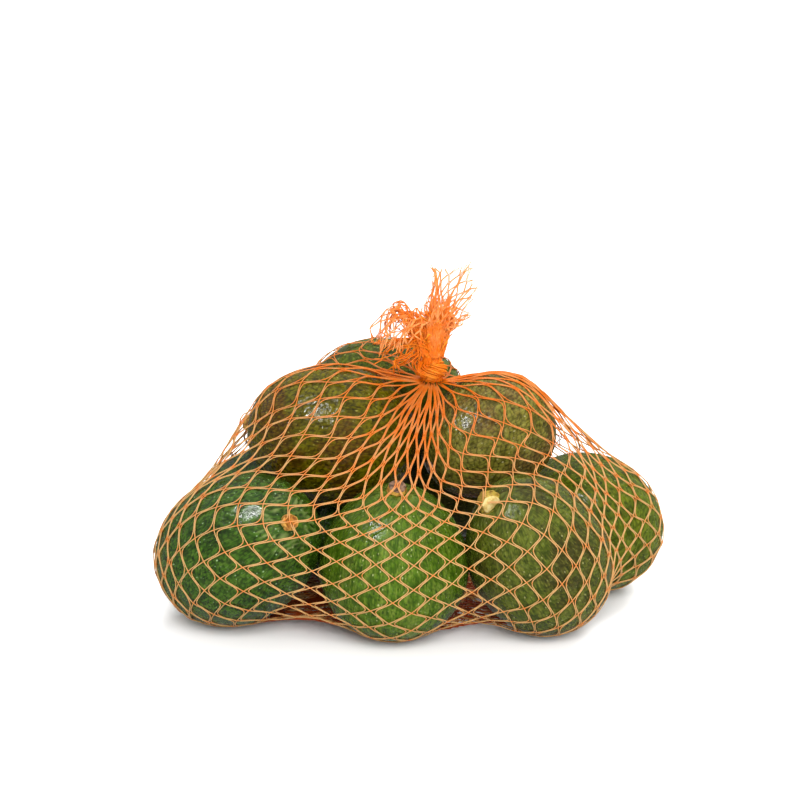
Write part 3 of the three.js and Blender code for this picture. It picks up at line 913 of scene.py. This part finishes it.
def knot_rope(name, start, sweep, low, high, radius, thickness, pale, material):
    """A rope of threads wound round the bundle, whose ends tuck in under it."""
    lay = np.linspace(0, 1, ROPE_STEPS)
    turn = np.radians(start + sweep * lay)
    tucked = smoothstep(np.minimum(lay, 1 - lay) / ROPE_TUCK)
    out = np.stack([np.cos(turn), np.sin(turn), np.zeros_like(turn)], -1)
    reach = radius * (ROPE_END_RADIUS + (1 - ROPE_END_RADIUS) * tucked) * MM
    middle = KNOT_FOOT + out * reach[:, None]
    middle = middle + UP * ((low + (high - low) * lay) * MM)[:, None]
    middle = middle + crumple(middle, ROPE_CRUMPLE_WAVES, ROPE_CRUMPLE_SIZE) * ROPE_CRUMPLE
    ahead = unit(np.gradient(middle, axis=0))
    out = unit(out - ahead * (out * ahead).sum(-1, keepdims=True))
    aside = np.cross(ahead, out)
    phase = (np.arange(ROPE_THREADS)[:, None] / ROPE_THREADS + ROPE_TWIST * lay[None]) * FULL_TURN
    phase = phase + dice.normal(size=(ROPE_THREADS, 1)) * ROPE_STRAY
    round_way = np.cos(phase)[..., None] * out + np.sin(phase)[..., None] * aside
    lumpy = 1 + ROPE_LUMP * np.cos(lay * ROPE_LUMPS + start)
    thick = thickness * (ROPE_END_THICKNESS + (1 - ROPE_END_THICKNESS) * tucked) * lumpy * MM - THREAD
    thick = thick[None] * (1 + dice.normal(size=(ROPE_THREADS, 1)) * ROPE_UNEVEN)
    paths = middle + round_way * thick[..., None]
    threads(name, paths, round_way, np.full(paths.shape[:2], pale), material, "knot")


def fold_values(angle):
    """Reach and rise of the bend and the tip at any angle, eased from each fold to the next one round."""
    degrees = np.degrees(angle) % 360
    index = np.searchsorted(TUFT_FOLDS[:, 0], degrees, side="right") - 1
    here, after = TUFT_FOLDS[index], TUFT_FOLDS[(index + 1) % len(TUFT_FOLDS)]
    span = (after[..., 0] - here[..., 0]) % 360
    ease = smoothstep((degrees - here[..., 0]) / span)[..., None]
    return np.moveaxis((here + (after - here) * ease)[..., 1:] * MM, -1, 0)


def funnel(angle, share):
    """Points of the tuft's smooth funnel, whose edge has notches that come and go round it."""
    notch = np.cos(TUFT_NOTCHES * angle) * np.cos(TUFT_NOTCH_SWELL * angle + 1)
    along = share * (1 + TUFT_RAGGED_EDGE * notch)
    to_bend, to_tip = 2 * along * (1 - along), along ** 2
    bend_out, bend_rise, tip_out, tip_rise = fold_values(angle)
    radius = TUFT_RADIUS + bend_out * to_bend + tip_out * to_tip
    rise = bend_rise * to_bend + tip_rise * to_tip
    return TUFT_FOOT + np.stack([radius * np.cos(angle), radius * np.sin(angle), rise], -1)


def tuft_bunch(name, count, low, high, bends, palest, material):
    """Inner folds of the tuft: pairs of threads, packed at the knot, that spread like a brush."""
    low, high = np.array(low) * MM, np.array(high) * MM
    turn = dice.uniform(0, FULL_TURN, (count, 1, 1))
    out = np.sqrt(dice.random((count, 1, 1)))
    spot = np.concatenate([np.cos(turn) * out, np.sin(turn) * out, dice.uniform(-1, 1, (count, 1, 1))], -1)
    foot = TUFT_FOOT + spot * (BUNCH_FOOT, BUNCH_FOOT, 0)
    tip = TUFT_FOOT + (low + high) / 2 + spot * (high - low) / 2
    bend = foot + (tip - foot) * BUNCH_LEAN + UP * dice.uniform(*bends, (count, 1, 1)) * MM
    share = np.linspace(0, 1, BUNCH_STEPS)[None, :, None]
    middle = foot * (1 - share) ** 2 + bend * 2 * share * (1 - share) + tip * share ** 2
    middle = middle + crumple(middle, BUNCH_CRUMPLE_WAVES, BUNCH_CRUMPLE_SIZE) * BUNCH_CRUMPLE * share
    twist = turn + share * FULL_TURN
    apart = np.concatenate([np.cos(twist), np.sin(twist), np.zeros_like(twist)], -1) * BUNCH_THREAD
    paths = np.concatenate([middle + apart, middle - apart])
    normals = np.broadcast_to(FRONT, paths.shape)
    pale = np.tile(dice.uniform(0, palest, (count, 1)), (2, BUNCH_STEPS))
    threads("tuft_" + name, paths, normals, pale, material, "tuft", BUNCH_THREAD)


def tuft_net(name, rows, reach, material):
    """The loose end of the net above the knot: the same knit, pleated, crumpled, and frayed at the cut."""
    row = np.arange(rows)[:, None]
    share = np.broadcast_to(row / (rows - 1) * reach, (rows, COLUMNS))
    angle = np.array([column_turn(k) for k in range(rows)])
    net = funnel(angle, share)
    normal = -joint_frames(net)[1]
    net = net + normal * dice.normal(size=(1, COLUMNS, 1)) * TUFT_UNEVEN
    grown = TUFT_PLEAT_START + (1 - TUFT_PLEAT_START) * share
    pleat = TUFT_PLEAT_DEPTH * grown * np.cos(TUFT_PLEATS * angle + TUFT_PLEAT_DRIFT * np.sin(2 * angle))
    net = net + normal * pleat[..., None]
    net = net + crumple(net, TUFT_CRUMPLE_WAVES, TUFT_CRUMPLE_SIZE) * TUFT_CRUMPLE * share[..., None]
    net = net + dice.normal(size=net.shape) * TUFT_JITTER * share[..., None]
    kinds = [thread_paths(net, state, TUFT_THREAD) for state in range(len(THREAD_STATES))]
    paths, normals, drawn = (np.concatenate(parts) for parts in zip(*kinds))
    paths = softened(paths)
    cut = dice.uniform(*TUFT_FRAY, len(paths))[:, None, None] * np.linspace(0, 1, STEPS + 1)[None, :, None]
    start, end = paths[:, -STEPS - 1, None], paths[:, -1, None]
    stray = dice.normal(size=end.shape) * TUFT_FRAY_SPREAD
    paths[:, -STEPS - 1:] = start + (end - start) * cut + stray * cut ** 2
    threads("tuft_" + name, paths, normals, drawn, material, "tuft", TUFT_THREAD)


# Studio: metres, but what the lamps and the camera point at is in millimetres

FLOOR_HALF = 12.0
SKY_LOW = 0.35
SKY_HIGH = 0.85
LIGHT_AIM = Vector((0, -20, 60)) * MM
BROAD_LIGHT_FROM = (0.3, 0.55, 0.9)
FRONT_LIGHT_FROM = (0.2, -1.3, 0.9)
GLINT_LIGHT_FROM = (-0.5, -0.5, 0.92)
CAMERA_AIM = Vector((-7, -20, 98)) * MM
CAMERA_TILT = math.radians(15)
CAMERA_DISTANCE = 1.0
CAMERA_SENSOR = 36
CAMERA_LENS = 96.3


def studio():
    """A plain pale floor, a broad light from above, a soft box in front, a small one for the glints, and the
    camera. Only the small one and the sky show in the rind, so that it stays deep in colour."""
    floor = bpy.data.meshes.new("floor")
    corners = [(x * FLOOR_HALF, y * FLOOR_HALF, 0) for x, y in ((-1, -1), (1, -1), (1, 1), (-1, 1))]
    floor.from_pydata(corners, [], [(0, 1, 2, 3)])
    ground = bpy.data.objects.new("floor", floor)
    bpy.context.scene.collection.objects.link(ground)
    material, tree = empty_material("matt white studio floor")
    paint = add_node(tree, "BsdfPrincipled", {"Base Color": linear("#F8F8F8"), "Roughness": 1.0,
                                              "Specular IOR Level": 0.0})
    add_node(tree, "OutputMaterial", {"Surface": paint.outputs[0]})
    floor.materials.append(material)
    ground.visible_glossy = False

    world = bpy.data.worlds.new("studio")
    world.use_nodes = True
    tree = world.node_tree
    tree.nodes.clear()
    heading = add_node(tree, "SeparateXYZ", {0: add_node(tree, "TexCoord").outputs["Generated"]})
    bright = add_node(tree, "MapRange", {0: heading.outputs[2], 1: 0.0, 2: 1.0, 3: SKY_LOW, 4: SKY_HIGH})
    sky = add_node(tree, "Background", {0: (1, 1, 1, 1), 1: bright.outputs[0]})
    add_node(tree, "OutputWorld", {0: sky.outputs[0]})
    bpy.context.scene.world = world

    broad = bpy.data.lights.new("broad light", "SUN")
    broad.energy = 3.9
    broad.angle = math.radians(45)
    fill = bpy.data.lights.new("soft box in front", "AREA")
    fill.energy = 34
    fill.size = 1.0
    key = bpy.data.lights.new("small soft box", "AREA")
    key.energy = 9
    key.size = 0.1
    for lamp, place in ((broad, BROAD_LIGHT_FROM), (fill, FRONT_LIGHT_FROM), (key, GLINT_LIGHT_FROM)):
        stand = bpy.data.objects.new(lamp.name, lamp)
        stand.location = place
        stand.visible_glossy = lamp is key
        stand.visible_diffuse = lamp is not key
        stand.rotation_mode = "QUATERNION"
        stand.rotation_quaternion = (LIGHT_AIM - Vector(place)).to_track_quat("-Z", "Y")
        bpy.context.scene.collection.objects.link(stand)

    camera = bpy.data.cameras.new("camera")
    camera.sensor_width = CAMERA_SENSOR
    camera.lens = CAMERA_LENS
    viewer = bpy.data.objects.new("camera", camera)
    back = Vector((0, -math.cos(CAMERA_TILT), math.sin(CAMERA_TILT)))
    viewer.location = CAMERA_AIM + back * CAMERA_DISTANCE
    viewer.rotation_mode = "QUATERNION"
    viewer.rotation_quaternion = (-back).to_track_quat("-Z", "Y")
    bpy.context.scene.collection.objects.link(viewer)
    bpy.context.scene.camera = viewer
    bpy.context.scene.view_settings.view_transform = "Standard"


materials = {skin: avocado_skin("avocado rind, " + skin, look) for skin, look in SKINS.items()}
for stem, look in STEMS.items():
    for part in ("bark", "end"):
        materials[f"{stem} {part}"] = dried_stem(f"dried stem, {stem} {part}", *look[part])
materials["net"] = netting("polyethylene net thread", "#D46808", "#C79A61")
# A darker copy of the thread for the slack: painted shade, as it lies in shadow under the heap
materials["slack"] = netting("polyethylene net thread, slack, painted darker as shade", "#963A12", "#B4682E")
# A brighter, deeper orange copy of the thread for the knot and the tuft: painted light that bounces between
# the bunched threads
materials["bunched"] = netting("polyethylene net thread, bunched", "#EC740E", "#F2A030")
materials["cut end"] = netting("polyethylene net thread, cut end", "#E87412", "#E89E5C")

ball = round_ball()
for name, fruit in AVOCADOS.items():
    avocado("avocado_" + name, *fruit, ball, materials)
bag_net(materials["net"], materials["slack"])
knot_bundle(materials["bunched"])
for number, rope in enumerate(KNOT_ROPES):
    knot_rope(f"knot_rope_{number + 1}", *rope, materials["bunched"])
dice = np.random.default_rng(TUFT_SEED)
for name, bunch in BUNCHES.items():
    tuft_bunch(name, *bunch, materials["bunched"])
for name, net in TUFT_NETS.items():
    tuft_net(name, *net, materials["cut end"])
studio()
